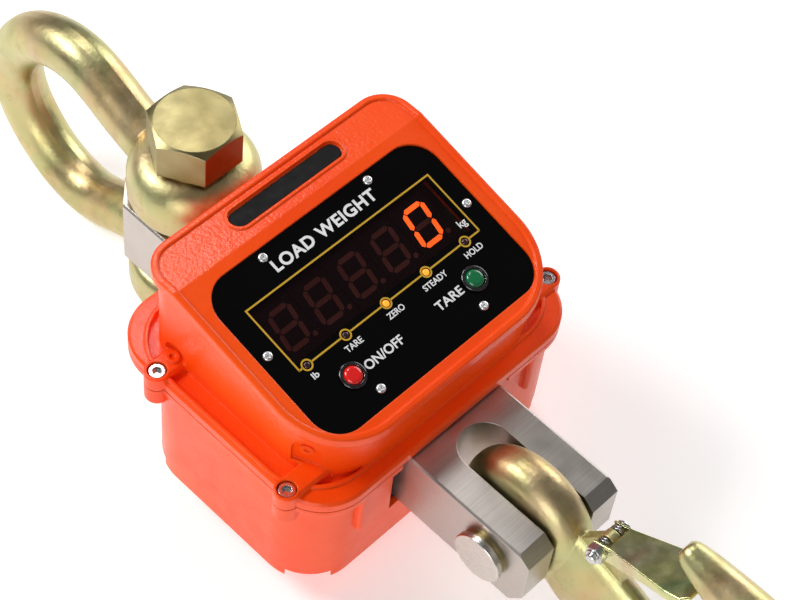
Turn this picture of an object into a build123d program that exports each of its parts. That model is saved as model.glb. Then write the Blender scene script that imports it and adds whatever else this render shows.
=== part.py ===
from build123d import *

import math
import os

# Crane scale lying on its back, millimetres.
# +X points to the reader's right, +Y towards the lifting shackle, +Z out of the display side.
# The origin lies on the floor, under the load line, midway between the four cover screws.

# Load line and load bar
AXIS_Z = 75.0
BAR_WIDTH = 70.0
BAR_THICK = 48.0
BAR_HOOK_END = -162.0
BAR_SHACKLE_END = 165.0
BAR_EDGE = 1.2
SLOT_WIDTH = 31.0
SLOT_CENTRE_Y = -98.0
BOLT_Y = 130.0
PIN_Y = -133.0
SPACER_YS = (-52.0, 49.3)

# Rear casing
BACK_Z = 21.5
PART_Z = 101.0
GASKET = 0.8
CASE_WIDTH = 202.0
CASE_LOW_Y = -71.3
CASE_HIGH_Y = 64.0
CASE_RADIUS = 30.0
WALL = 4.0
RIM_WIDTH = 203.0
RIM_LOW_Y = -76.5
RIM_HIGH_Y = 90.0
RIM_THICK = 4.0
NOTCH_WIDTH = 82.0
NOTCH_LOW_Z = 49.0

# Battery compartment under the rear casing
BAY_WIDTH = 130.0
BAY_LENGTH = 86.0
BAY_RADIUS = 10.0
BAY_WALL = 3.5
DOOR_LOW_Z = 1.0
DOOR_THICK = 3.5
PAD_SIZE = (92.0, 56.0)

# Front cover
FLANGE_THICK = 6.5
BEZEL_WIDTH = 182.0
BEZEL_LOW_Y = -71.5
BEZEL_HIGH_Y = 75.5
BEZEL_RADII = (42.0, 19.0)
BEZEL_DEPTH = 5.0
OVERHANG = 4.0
RIM_RISE = 1.3
RIM_BAND = 4.2
FACE_TILT = 14.5
FACE_ORIGIN_Z = 157.9
BEZEL_RISE = 1.5
FACET_Y = 47.0
COVER_WALL = 3.5
LUG_X = 100.0
LUG_Y = 49.5
LUG_RADIUS = 7.2
ALCOVE_TURN = 25.0
ALCOVE_DEPTH = 2.8
ALCOVE_RADIUS = 8.2
LUG_RISE = 9.5
LUG_DROP = 11.5
RIDGE_HALF = 99.7
RIDGE_YS = (-68.0, 82.0)
RIDGE_RADIUS = 35.0
SCREW_RADIUS = 3.0

# Display panel, measured in the tilted face plane
PANEL_WIDTH = 160.0
PANEL_HIGH = 42.0
PANEL_LOW = -63.3
PANEL_RADIUS = 18.0
PANEL_THICK = 2.0
WINDOW_SIZE = (131.0, 36.0)
WINDOW_V = 0.3
DIGIT_PITCH = 24.8
DIGIT_X0 = -52.6
DIGIT_SIZE = (24.2, 34.0, 9.0)
LAMP_XS = (-60.4, -32.7, -3.0, 27.0, 57.0)
LAMP_V = -21.3
LAMP_RADIUS = 2.0
PANEL_SCREWS = ((-38.4, 37.2), (38.4, 37.2), (-73.7, -5.5), (73.7, -5.5), (-38.6, -54.7), (38.6, -54.7))
BUTTON_X = 45.5
BUTTON_V = -40.4
BUTTON_RADIUS = 5.4
BUTTON_RING = 7.6
BOARD_TOP = -PANEL_THICK - 0.4 - DIGIT_SIZE[2]
BOARD_POSTS = ((-67.0, 33.0), (-67.0, -52.0), (67.0, 33.0), (67.0, -52.0))

# Receiver window in the level facet
INSERT_X = 2.0
INSERT_LENGTH = 80.0
INSERT_WIDTH = 13.0
INSERT_Y = 61.0

# Shackle
BOW_LEG = ((130.0, 43.5), (160.0, 38.0), (190.0, 47.6), (220.0, 59.0), (248.0, 54.7))
BOW_CROWN_Y = 286.5
BOW_WIRE = 15.7
BOW_FLAT = 15.5
JAW_RADIUS = 42.5
EAR_RADIUS = 38.0
EAR_INNER = 25.5
EAR_THICK = 36.0
BOLT_RADIUS = 15.0
HEAD_FLATS = 48.0
HEAD_HEIGHT = 25.0
WASHER_THICK = 3.0

# Hook, drawn in the Y-Z plane
HOOK_THICK = 27.0
EYE_RADIUS = 41.0
PIN_RADIUS = 13.0
BOWL_Y = -268.0
BOWL_Z = 90.5
BOWL_RADIUS = 40.0
LATCH_Y = -184.0
LATCH_Z = 111.5
LATCH_TILT = 22.0
LATCH_LENGTH = 62.0
LATCH_BOLT_RADIUS = 3.0
LATCH_EYE = 5.4
LATCH_LUG = 2.8
LATCH_HALF = 9.3
LATCH_SHEET = 1.8
LATCH_TOP = 5.0

# Cross-sections around the hook's bowl: angle, outer radius, half width
BOWL_SECTIONS = ((323, 98.5, 13.2), (300, 89.5, 13.5), (270, 90.2, 13.5), (225, 88.8, 13.5),
                 (180, 82.0, 13.5), (135, 74.6, 13.2), (108, 71.6, 13.0))

# Cross-sections of the shank and of the arm: centre, direction, half height, half width
SHANK_SECTIONS = (((-155.0, 73.5), (-1.0, -0.3), 30.0, 12.0), ((-180.0, 62.0), (-0.93, -0.36), 30.5, 13.0))
ARM_SECTIONS = (((-262.0, 146.0), (1.0, 0.1), 15.3, 12.8), ((-245.0, 149.9), (1.0, 0.22), 11.6, 11.0),
                ((-230.0, 153.6), (1.0, 0.26), 8.0, 8.4), ((-225.5, 154.7), (1.0, 0.26), 6.6, 6.8),
                ((-223.0, 155.3), (1.0, 0.26), 4.2, 4.4))

# Charging socket on the right side of the rear casing
CHARGE_Y = 12.0
CHARGE_Z = 62.0
CAP_HINGE_X = 105.0
CAP_HINGE_Z = 48.0

PARTS_FOLDER = "parts"


def rounded_prism(width, low_y, high_y, radius, low_z, high_z):
    """Upright block with rounded corners, centred on x = 0."""
    plan = RectangleRounded(width, high_y - low_y, radius)
    return Pos(0, (low_y + high_y) / 2, low_z) * extrude(plan, high_z - low_z)


def cover_prism(inset, low_z, high_z):
    """Upright block in the plan of the bezel, drawn in by an inset."""
    plan = Rectangle(BEZEL_WIDTH - 2 * inset, BEZEL_HIGH_Y - BEZEL_LOW_Y - 2 * inset)
    for corner, radius in zip((0, -1), BEZEL_RADII):
        plan = fillet(plan.vertices().group_by(Axis.Y)[corner], radius - inset)
    return Pos(0, (BEZEL_LOW_Y + BEZEL_HIGH_Y) / 2, low_z) * extrude(plan, high_z - low_z)


def block(low, high):
    """Box between two opposite corners."""
    size = [b - a for a, b in zip(low, high)]
    middle = [(a + b) / 2 for a, b in zip(low, high)]
    return Pos(*middle) * Box(*size)


def rod(radius, start, end):
    """Cylinder between two points."""
    line = Vector(*end) - Vector(*start)
    plane = Plane(origin=start, z_dir=line)
    return plane * extrude(Circle(radius), line.length)


def on_face(x, v, rise=0.0):
    """Location on the tilted display panel, v measured up the slope."""
    return Pos(0, 0, FACE_ORIGIN_Z) * Rot(FACE_TILT, 0, 0) * Pos(x, v, rise)


def on_facet(x, y, rise=0.0):
    """Location on the level facet beside the shackle."""
    height = FACE_ORIGIN_Z + FACET_Y * math.tan(math.radians(FACE_TILT))
    height += BEZEL_RISE / math.cos(math.radians(FACE_TILT))
    return Pos(x, y, height + rise)


def under_face(solid, drop):
    """Part of a solid that lies under the face and the facet, both lowered by a drop."""
    above = Pos(0, 0, 150) * Box(400, 500, 300)
    solid = solid - on_face(0, 0, BEZEL_RISE - drop) * above
    return solid - on_facet(0, FACET_Y, -drop) * above


def lug_places():
    """The four cover screw positions."""
    return [(x, y) for x in (-LUG_X, LUG_X) for y in (-LUG_Y, LUG_Y)]


def foot_relief():
    """Steps under the rear casing's rounded corners, which leave small feet beside each corner."""
    height = 5.5
    cuts = []
    for sx in (-1, 1):
        for y, sy in ((CASE_LOW_Y, -1), (CASE_HIGH_Y, 1)):
            x = sx * (CASE_WIDTH / 2 - CASE_RADIUS)
            centre = Pos(x, y - sy * CASE_RADIUS, BACK_Z + height / 2 - 1)
            ring = Cylinder(CASE_RADIUS + 1, height + 2) - Cylinder(CASE_RADIUS - 5, height + 2)
            sector = Rot(0, 0, math.degrees(math.atan2(sy, sx))) * Pos(CASE_RADIUS, 0, 0)
            cuts.append(centre * (ring & sector * Box(26, 25, height + 2)))
    return cuts


def rear_housing():
    body = rounded_prism(CASE_WIDTH, CASE_LOW_Y, CASE_HIGH_Y, CASE_RADIUS, BACK_Z, PART_Z - GASKET)
    rim = rounded_prism(RIM_WIDTH, RIM_LOW_Y, RIM_HIGH_Y, CASE_RADIUS,
                        PART_Z - GASKET - RIM_THICK, PART_Z - GASKET)
    bay = rounded_prism(BAY_WIDTH, -BAY_LENGTH / 2, BAY_LENGTH / 2, BAY_RADIUS,
                        DOOR_LOW_Z + DOOR_THICK, BACK_Z + 1)
    shell = body + rim + bay
    for x, y in lug_places():
        shell += Pos(x, y, PART_Z - GASKET - LUG_DROP / 2) * Cylinder(LUG_RADIUS, LUG_DROP)
        shell += block((min(x, x * 0.93), y - LUG_RADIUS, PART_Z - GASKET - LUG_DROP + 2),
                       (max(x, x * 0.93), y + LUG_RADIUS, PART_Z - GASKET))
    for radius, low_z in ((CASE_RADIUS - WALL, BACK_Z + 10), (CASE_RADIUS + 12, BACK_Z + WALL)):
        shell -= rounded_prism(CASE_WIDTH - 2 * WALL, CASE_LOW_Y + WALL, CASE_HIGH_Y - WALL,
                               radius, low_z, PART_Z + 1)
    shell -= rounded_prism(BAY_WIDTH - 2 * BAY_WALL, -BAY_LENGTH / 2 + BAY_WALL,
                           BAY_LENGTH / 2 - BAY_WALL, BAY_RADIUS - BAY_WALL, 0, BACK_Z + WALL + 1)
    shell -= block((-NOTCH_WIDTH / 2, RIM_LOW_Y - 5, NOTCH_LOW_Z), (NOTCH_WIDTH / 2, -40, PART_Z + 1))
    shell -= block((-NOTCH_WIDTH / 2, 40, NOTCH_LOW_Z), (NOTCH_WIDTH / 2, RIM_HIGH_Y + 5, PART_Z + 1))
    for x, y in door_screw_places():
        shell += Pos(x, y, DOOR_LOW_Z + DOOR_THICK + 9) * Cylinder(6.2, 18)
        shell -= Pos(x, y, DOOR_LOW_Z + DOOR_THICK + 5) * Cylinder(1.55, 12)
    for x, y in lug_places():
        shell -= Pos(x, y, PART_Z - 5) * Cylinder(SCREW_RADIUS + 0.03, 14)
    for x, y in spacer_screw_places():
        shell -= Pos(x, y, BACK_Z + WALL / 2) * Cylinder(SCREW_RADIUS + 0.2, WALL + 2)
    for cut in foot_relief():
        shell -= cut
    for side in (-1, 1):
        shell += gusset(side)
    outside = CASE_WIDTH / 2
    return shell - rod(8.2, (outside - WALL - 2, CHARGE_Y, CHARGE_Z), (outside + 2, CHARGE_Y, CHARGE_Z))


def gusset(side):
    """Short cast rib on the hook-end wall, beside the bar opening."""
    rib = block((-3.2, CASE_LOW_Y - 3.4, 62), (3.2, CASE_LOW_Y + 1, PART_Z - GASKET - 1))
    rib = fillet(rib.edges().filter_by(Axis.Z).group_by(Axis.Y)[0], 2.4)
    return Pos(side * 66, 0, 0) * rib


def door_screw_places():
    """Battery door screw positions."""
    x = BAY_WIDTH / 2 - 9
    y = BAY_LENGTH / 2 - 9
    return [(sx * x, sy * y) for sx in (-1, 1) for sy in (-1, 1)]


def spacer_screw_places():
    """Screws that hold the load bar down on its two spacers."""
    return [(sx * 22, y) for sx in (-1, 1) for y in SPACER_YS]


def ring_prism(width, low_y, high_y, radius, inset, band, low_z, high_z):
    """Upright rounded frame: an outline set in by an inset, with a band's thickness."""
    parts = []
    for step in (inset, inset + band):
        parts.append(rounded_prism(width - 2 * step, low_y + step, high_y - step,
                                   radius - step, low_z, high_z))
    return parts[0] - parts[1]


def cover_gasket():
    frame = ring_prism(RIM_WIDTH, RIM_LOW_Y, RIM_HIGH_Y, CASE_RADIUS, 1.6, 4.0,
                       PART_Z - GASKET, PART_Z)
    for x, y in lug_places():
        frame += Pos(x, y, PART_Z - GASKET / 2) * Cylinder(LUG_RADIUS - 1, GASKET)
        frame -= Pos(x, y, PART_Z - GASKET / 2) * Cylinder(SCREW_RADIUS + 0.2, 3)
    for low, high in ((RIM_LOW_Y - 5, -40), (40, RIM_HIGH_Y + 5)):
        frame -= block((-NOTCH_WIDTH / 2, low, PART_Z - 3), (NOTCH_WIDTH / 2, high, PART_Z + 3))
    return frame


def bezel():
    """Overhanging bezel with a raised rim around the face and the facet."""
    outer = cover_prism(0, PART_Z + 12, 230)
    inner = cover_prism(RIM_BAND, PART_Z, 240)
    raised = under_face(outer, -RIM_RISE)
    raised = soften(raised - inner, 1.2, raised_rim_edges)
    plain = under_face(outer, 0)
    return (raised + plain) - under_face(outer, BEZEL_DEPTH)


def raised_rim_edges(solid):
    """Top edges of the raised rim."""
    faces = [f for f in solid.faces() if f.normal_at().Z > 0.8]
    return [e for f in faces for e in f.edges()]


def soften(solid, radius, choose):
    """Round the chosen edges, or leave the solid as it is where that cannot be done."""
    try:
        return fillet(choose(solid), radius)
    except (ValueError, RuntimeError):
        return solid


def ridge_prism(inset, low_z, high_z):
    """Upright block in the plan of the thin ridge, drawn in by an inset."""
    return rounded_prism(2 * (RIDGE_HALF - inset), RIDGE_YS[0] + inset, RIDGE_YS[1] - inset,
                         RIDGE_RADIUS - inset, low_z, high_z)


def cover_flange():
    """Base flange of the cover, with a thin raised ridge and a sunk floor inside it."""
    top = PART_Z + FLANGE_THICK
    flange = rounded_prism(RIM_WIDTH, RIM_LOW_Y, RIM_HIGH_Y, CASE_RADIUS, PART_Z, top)
    flange = chamfer(flange.edges().group_by(Axis.Z)[-1], 1.4)
    ridge = ridge_prism(0, PART_Z, top + 1.5)
    ridge = fillet(ridge.edges().group_by(Axis.Z)[-1], 0.9)
    return flange + ridge - ridge_prism(2.2, top - 2.4, top + 5)


def cover_lug(x, y):
    """Screw lug with a flat pad that runs in to the cover wall."""
    side = 1 if x > 0 else -1
    pad = block((min(x, side * 70), y - LUG_RADIUS, PART_Z),
                (max(x, side * 70), y + LUG_RADIUS, PART_Z + LUG_RISE))
    pad = chamfer(pad.edges().group_by(Axis.Z)[-1].filter_by(Axis.X), 1.5)
    post = Pos(x, y, PART_Z + LUG_RISE / 2) * Cylinder(LUG_RADIUS, LUG_RISE)
    post = fillet(post.edges().group_by(Axis.Z)[-1], 0.9)
    return post + pad


def on_wall(x, y, z):
    """Location on the cover wall above a lug, with its Z axis pointing out of the wall."""
    side = 1 if x > 0 else -1
    if y > 0:
        return Pos(side * (BEZEL_WIDTH / 2 - OVERHANG), y, z) * Rot(0, side * 90, 0)
    radius = BEZEL_RADII[0]
    centre = Pos(side * (BEZEL_WIDTH / 2 - radius), BEZEL_LOW_Y + radius, z)
    turn = -ALCOVE_TURN if side > 0 else 180 + ALCOVE_TURN
    return centre * Rot(0, 0, turn) * Pos(radius - OVERHANG, 0, 0) * Rot(0, 90, 0)


def alcove(x, y):
    """Shallow arched recess in the cover wall, standing on the pad of a lug."""
    floor = PART_Z + LUG_RISE
    rise = 1.0 if y > 0 else 12.0
    arch = Pos(0, 0, 10 - ALCOVE_DEPTH) * Cylinder(ALCOVE_RADIUS, 20)
    shaft = Pos(rise / 2, 0, 10 - ALCOVE_DEPTH) * Box(rise, 2 * ALCOVE_RADIUS, 20)
    niche = on_wall(x, y, floor + rise) * (arch + shaft)
    return niche & block((-200, -200, floor), (200, 200, floor + 40))


def alcove_boss(x, y):
    """Small round boss with a dimple in an alcove, level by the shackle and upright by the hook."""
    side = 1 if x > 0 else -1
    boss = Pos(0, 0, 0.4) * Cylinder(3.9, 1.8) - Pos(0, 0, 1.2) * Cylinder(1.8, 2)
    if y > 0:
        return Pos(side * 88.8, y, PART_Z + LUG_RISE + 0.3) * boss
    return on_wall(x, y, PART_Z + 21.5) * Pos(0, 0, -2.6) * boss


def front_cover():
    walls = under_face(cover_prism(OVERHANG, PART_Z, 230), 0.1)
    shell = walls + cover_flange() + bezel()
    for x, y in lug_places():
        shell -= alcove(x, y)
    for x, y in lug_places():
        shell += cover_lug(x, y) + alcove_boss(x, y)
    cavity = cover_prism(OVERHANG + COVER_WALL, PART_Z - 1, 230)
    shell -= under_face(cavity, 7)
    for x, y in lug_places():
        shell -= Pos(x, y, PART_Z + LUG_RISE) * Cylinder(5.4, 14)
        shell -= Pos(x, y, PART_Z) * Cylinder(SCREW_RADIUS + 0.2, 30)
    recess = Pos(0, (PANEL_HIGH + PANEL_LOW) / 2, 0) * RectangleRounded(
        PANEL_WIDTH + 0.6, PANEL_HIGH - PANEL_LOW + 0.6, PANEL_RADIUS + 0.3)
    shell -= on_face(0, 0, -PANEL_THICK) * extrude(recess, 12)
    shell -= on_face(0, WINDOW_V, -8) * Box(WINDOW_SIZE[0] + 1, WINDOW_SIZE[1] + 1, 16)
    for x in LAMP_XS:
        shell -= on_face(x, LAMP_V, -8) * Cylinder(LAMP_RADIUS + 0.3, 16)
    for x in (-BUTTON_X, BUTTON_X):
        shell -= on_face(x, BUTTON_V, -8) * Cylinder(6.6, 16)
    for x, v in PANEL_SCREWS:
        shell -= on_face(x, v, -3) * Cylinder(1.4, 4.4)
    slot_rim = extrude(SlotOverall(INSERT_LENGTH + 4, INSERT_WIDTH + 4), 0.8)
    shell += on_facet(INSERT_X, INSERT_Y) * chamfer(slot_rim.edges().group_by(Axis.Z)[-1], 0.5)
    for inset, drop in ((0, 1.6), (1.6, 3.6)):
        slot = extrude(SlotOverall(INSERT_LENGTH - inset, INSERT_WIDTH - inset), 8)
        shell -= on_facet(INSERT_X, INSERT_Y, -drop) * slot
    return shell


def cover_screws():
    """Four socket-head cap screws."""
    screws = []
    top = PART_Z + LUG_RISE - 1.0
    for x, y in lug_places():
        head = Pos(x, y, top - 2.7) * Cylinder(4.9, 5.4)
        head = chamfer(head.edges().group_by(Axis.Z)[-1], 0.6)
        head -= Pos(x, y, top - 3) * extrude(RegularPolygon(2.9, 6), 4)
        shank = Pos(x, y, top - 5.4 - 6.5) * Cylinder(SCREW_RADIUS, 13)
        screws.append(head + shank)
    return screws


def face_panel():
    plate = Pos(0, (PANEL_HIGH + PANEL_LOW) / 2, 0) * RectangleRounded(
        PANEL_WIDTH, PANEL_HIGH - PANEL_LOW, PANEL_RADIUS)
    panel = on_face(0, 0, -PANEL_THICK) * extrude(plate, PANEL_THICK)
    panel -= on_face(0, WINDOW_V) * Box(WINDOW_SIZE[0], WINDOW_SIZE[1], 6)
    for x in LAMP_XS:
        panel -= on_face(x, LAMP_V) * Cylinder(LAMP_RADIUS + 0.05, 6)
    for x in (-BUTTON_X, BUTTON_X):
        panel -= on_face(x, BUTTON_V) * Cylinder(6.45, 6)
    for x, v in PANEL_SCREWS:
        panel -= on_face(x, v) * Cylinder(1.5, 6)
    return panel


def display_window():
    width, high = WINDOW_SIZE
    return on_face(0, WINDOW_V, -PANEL_THICK / 2) * Box(width - 0.2, high - 0.2, PANEL_THICK)


def panel_screws():
    """Six pan-head screws with cross recesses."""
    screws = []
    for x, v in PANEL_SCREWS:
        head = Pos(0, 0, 0.8) * Cylinder(2.7, 1.6)
        head = fillet(head.edges().group_by(Axis.Z)[-1], 1.1)
        for turn in (0, 90):
            head -= Rot(0, 0, turn + 20) * Pos(0, 0, 1.4) * Box(2.9, 0.7, 1.2)
        screws.append(on_face(x, v) * (head + Pos(0, 0, -2) * Cylinder(1.35, 4.2)))
    return screws


def led_digit(index):
    x = DIGIT_X0 + DIGIT_PITCH * index
    return on_face(x, WINDOW_V, -PANEL_THICK - 0.4 - DIGIT_SIZE[2] / 2) * Box(*DIGIT_SIZE)


def indicator_lamps():
    """Five small domed lamps that look out through the panel."""
    length = 10.6
    lamp = Pos(0, 0, -length / 2) * Cylinder(LAMP_RADIUS, length)
    lamp = fillet(lamp.edges().group_by(Axis.Z)[-1], 1.2)
    return [on_face(x, LAMP_V, 0.5) * lamp for x in LAMP_XS]


def display_board():
    board = on_face(0, -10, BOARD_TOP - 1.6) * extrude(RectangleRounded(146, 98, 10), 1.6)
    for x, v in BOARD_POSTS:
        board -= on_face(x, v, BOARD_TOP) * Cylinder(1.6, 6)
    return board


def board_posts():
    """Spacers between the cover's underside and the display board."""
    low = BOARD_TOP
    high = BEZEL_RISE - 7
    post = Pos(0, 0, (low + high) / 2) * Cylinder(3.2, high - low)
    post -= Pos(0, 0, low + 2) * Cylinder(1.3, 5)
    return [on_face(x, v) * post for x, v in BOARD_POSTS]


def board_screws():
    low = BOARD_TOP - 1.6
    head = Pos(0, 0, low - 1) * Cylinder(2.6, 2)
    head = fillet(head.edges().group_by(Axis.Z)[0], 0.8)
    screw = head + Pos(0, 0, low + 2.4) * Cylinder(1.25, 5)
    return [on_face(x, v) * screw for x, v in BOARD_POSTS]


def button_cap(x):
    """Domed key cap with a stem that reaches its switch."""
    cap = Pos(0, 0, -0.2) * Cylinder(BUTTON_RADIUS, 6.4)
    cap = fillet(cap.edges().group_by(Axis.Z)[-1], 2.6)
    stem = Pos(0, 0, -4.8) * Cylinder(1.5, 3.2)
    return on_face(x, BUTTON_V) * (cap + stem)


def button_ring(x):
    ring = Pos(0, 0, 0.9) * Cylinder(BUTTON_RING, 1.8)
    ring = fillet(ring.edges().group_by(Axis.Z)[-1], 0.8)
    sleeve = Pos(0, 0, -4) * Cylinder(6.4, 8.2)
    bore = Cylinder(BUTTON_RADIUS + 0.3, 30)
    return on_face(x, BUTTON_V) * (ring + sleeve - bore)


def button_switch(x):
    low = BOARD_TOP
    high = -8.1
    body = Pos(0, 0, (low + high) / 2) * Box(13, 13, high - low)
    return on_face(x, BUTTON_V) * body


def receiver_window():
    plate = extrude(SlotOverall(INSERT_LENGTH - 1.8, INSERT_WIDTH - 1.8), 2.6)
    plate = fillet(plate.edges().group_by(Axis.Z)[-1], 0.5)
    return on_facet(INSERT_X, INSERT_Y, -3.6) * plate


def battery_pack():
    pack = block((-50, -35, 5), (50, 35, 47))
    pack = fillet(pack.edges().filter_by(Axis.Z), 3)
    for x in (-30, -18):
        pack += block((x - 2.5, 22, 47), (x + 2.5, 23, 49.5))
    return pack


def battery_door():
    door = rounded_prism(BAY_WIDTH, -BAY_LENGTH / 2, BAY_LENGTH / 2, BAY_RADIUS,
                         DOOR_LOW_Z, DOOR_LOW_Z + DOOR_THICK)
    door = chamfer(door.edges().group_by(Axis.Z)[0], 1.0)
    door -= rounded_prism(PAD_SIZE[0] + 0.4, -PAD_SIZE[1] / 2 - 0.2, PAD_SIZE[1] / 2 + 0.2, 4.2, 0, 2)
    for x, y in door_screw_places():
        door -= Pos(x, y, DOOR_LOW_Z) * Cylinder(1.7, 12)
        door -= Pos(x, y, DOOR_LOW_Z + 1) * Cylinder(3.3, 2.02)
    return door


def door_screws():
    screws = []
    for x, y in door_screw_places():
        head = Pos(x, y, DOOR_LOW_Z + 1.1) * Cylinder(3.1, 1.8)
        head -= Pos(x, y, DOOR_LOW_Z + 0.4) * Box(3.4, 0.8, 1.2)
        head -= Pos(x, y, DOOR_LOW_Z + 0.4) * Box(0.8, 3.4, 1.2)
        screws.append(head + Pos(x, y, DOOR_LOW_Z + 6) * Cylinder(1.5, 8.4))
    return screws


def rest_pad():
    return rounded_prism(PAD_SIZE[0], -PAD_SIZE[1] / 2, PAD_SIZE[1] / 2, 4, 0, 2)


def main_board():
    board = block((70, -42, 31), (71.6, 35, 92))
    for y, z in main_post_places():
        board -= rod(1.6, (68, y, z), (74, y, z))
    for y, z, size in ((-20, 45, 12), (6, 70, 16), (26, 48, 9), (-24, 76, 8)):
        board += block((67.5, y - size / 2, z - size / 2), (70, y + size / 2, z + size / 2))
    return board


def main_post_places():
    return [(y, z) for y in (-36.0, 29.0) for z in (37.0, 86.0)]


def main_board_posts():
    return [rod(3.2, (71.6, y, z), (CASE_WIDTH / 2 - WALL, y, z)) for y, z in main_post_places()]


def main_board_screws():
    screws = []
    for y, z in main_post_places():
        screws.append(rod(2.6, (68.2, y, z), (70, y, z)) + rod(1.5, (69.9, y, z), (71.6, y, z)))
    return screws


def hinge_line(radius, half):
    """Rod along the hinge of the charging socket's cap."""
    start = (CAP_HINGE_X, CHARGE_Y - half, CAP_HINGE_Z)
    return rod(radius, start, (CAP_HINGE_X, CHARGE_Y + half, CAP_HINGE_Z))


def charge_socket():
    outside = CASE_WIDTH / 2
    body = rod(8.1, (80, CHARGE_Y, CHARGE_Z), (outside + 0.5, CHARGE_Y, CHARGE_Z))
    body += rod(11, (outside, CHARGE_Y, CHARGE_Z), (outside + 1.8, CHARGE_Y, CHARGE_Z))
    body -= rod(4.6, (86, CHARGE_Y, CHARGE_Z), (outside + 4, CHARGE_Y, CHARGE_Z))
    body += rod(1.2, (85, CHARGE_Y, CHARGE_Z), (outside - 1, CHARGE_Y, CHARGE_Z))
    for side in (-1, 1):
        y = CHARGE_Y + side * 5.2
        body += block((outside, y - 1.2, CAP_HINGE_Z - 2), (CAP_HINGE_X + 2, y + 1.2, CAP_HINGE_Z + 3))
        body += block((outside, y - 1.2, CAP_HINGE_Z - 1), (outside + 1.8, y + 1.2, CHARGE_Z - 8))
    return body - hinge_line(1.05, 9)


def charge_cap():
    outside = CASE_WIDTH / 2 + 2.1
    cap = rod(9.6, (outside, CHARGE_Y, CHARGE_Z), (outside + 3.4, CHARGE_Y, CHARGE_Z))
    cap = fillet(cap.edges().group_by(Axis.X)[-1], 1.2)
    cap += rod(4.2, (outside - 3, CHARGE_Y, CHARGE_Z), (outside + 1, CHARGE_Y, CHARGE_Z))
    cap -= rod(2.2, (outside - 4, CHARGE_Y, CHARGE_Z), (outside + 1, CHARGE_Y, CHARGE_Z))
    cap += block((CAP_HINGE_X - 1.4, CHARGE_Y - 3.6, CAP_HINGE_Z),
                 (CAP_HINGE_X + 0.5, CHARGE_Y + 3.6, CHARGE_Z - 7))
    return cap + hinge_line(2.0, 3.7) - hinge_line(1.06, 9)


def charge_cap_pin():
    return hinge_line(1.0, 6.6)


def load_cell_bar():
    low = AXIS_Z - BAR_THICK / 2
    high = AXIS_Z + BAR_THICK / 2
    half = BAR_WIDTH / 2
    side = Plane.YZ * Polygon(
        (BAR_HOOK_END, high - 6.2), (BAR_HOOK_END + 7.8, high), (BAR_SHACKLE_END, high),
        (BAR_SHACKLE_END, low), (BAR_HOOK_END + 9.0, low), (BAR_HOOK_END, low + 12.0), align=None)
    bar = extrude(side, half, both=True)
    bar = chamfer(bar.edges().filter_by(Axis.Y), BAR_EDGE)
    for sx in (-1, 1):
        corner = Pos(sx * half, BAR_SHACKLE_END, AXIS_Z) * Rot(0, 0, 45) * Box(20, 20, 60)
        bar -= corner
    bar -= Pos(0, SLOT_CENTRE_Y, AXIS_Z) * Cylinder(SLOT_WIDTH / 2, 60)
    bar -= block((-SLOT_WIDTH / 2, BAR_HOOK_END - 5, low - 5), (SLOT_WIDTH / 2, SLOT_CENTRE_Y, high + 5))
    bar -= Pos(0, BOLT_Y, AXIS_Z) * Cylinder(BOLT_RADIUS + 0.08, 60)
    bar -= rod(PIN_RADIUS + 0.03, (-half - 5, PIN_Y, AXIS_Z), (half + 5, PIN_Y, AXIS_Z))
    for sx in (-1, 1):
        bar -= rod(14, (sx * 19, 0, AXIS_Z), (sx * 40, 0, AXIS_Z))
        bar -= rod(16.1, (sx * (half - 2.2), 0, AXIS_Z), (sx * 40, 0, AXIS_Z))
    for x, y in spacer_screw_places():
        bar -= Pos(x, y, low) * Cylinder(SCREW_RADIUS + 0.05, 24)
    return bar


def gauge_cover(side):
    """Thin disc that seals a strain-gauge pocket."""
    half = BAR_WIDTH / 2
    disc = rod(16, (side * (half - 2.2), 0, AXIS_Z), (side * (half - 0.2), 0, AXIS_Z))
    return disc - rod(2, (side * (half - 1), 0, AXIS_Z), (side * (half + 1), 0, AXIS_Z))


def bar_seal(low_y, high_y):
    """Rubber plate that closes the casing around the load bar."""
    plate = block((-46, low_y, 44), (46, high_y, PART_Z - GASKET - 0.2))
    low = AXIS_Z - BAR_THICK / 2 - 0.1
    high = AXIS_Z + BAR_THICK / 2 + 0.1
    return plate - block((-BAR_WIDTH / 2 - 0.1, low_y - 1, low), (BAR_WIDTH / 2 + 0.1, high_y + 1, high))


def bar_spacers():
    spacers = []
    for y in SPACER_YS:
        spacer = block((-31, y - 5.5, BACK_Z + WALL), (31, y + 5.5, AXIS_Z - BAR_THICK / 2))
        for x in (-22, 22):
            spacer -= Pos(x, y, 38) * Cylinder(SCREW_RADIUS + 0.2, 60)
        spacers.append(spacer)
    return spacers


def bar_screws():
    screws = []
    for x, y in spacer_screw_places():
        head = Pos(x, y, BACK_Z - 2.6) * Cylinder(5, 5.2)
        head = chamfer(head.edges().group_by(Axis.Z)[0], 0.6)
        head -= Pos(x, y, BACK_Z - 6) * extrude(RegularPolygon(2.9, 6), 3.4)
        screws.append(head + Pos(x, y, BACK_Z + 19) * Cylinder(SCREW_RADIUS, 38.2))
    return screws


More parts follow.
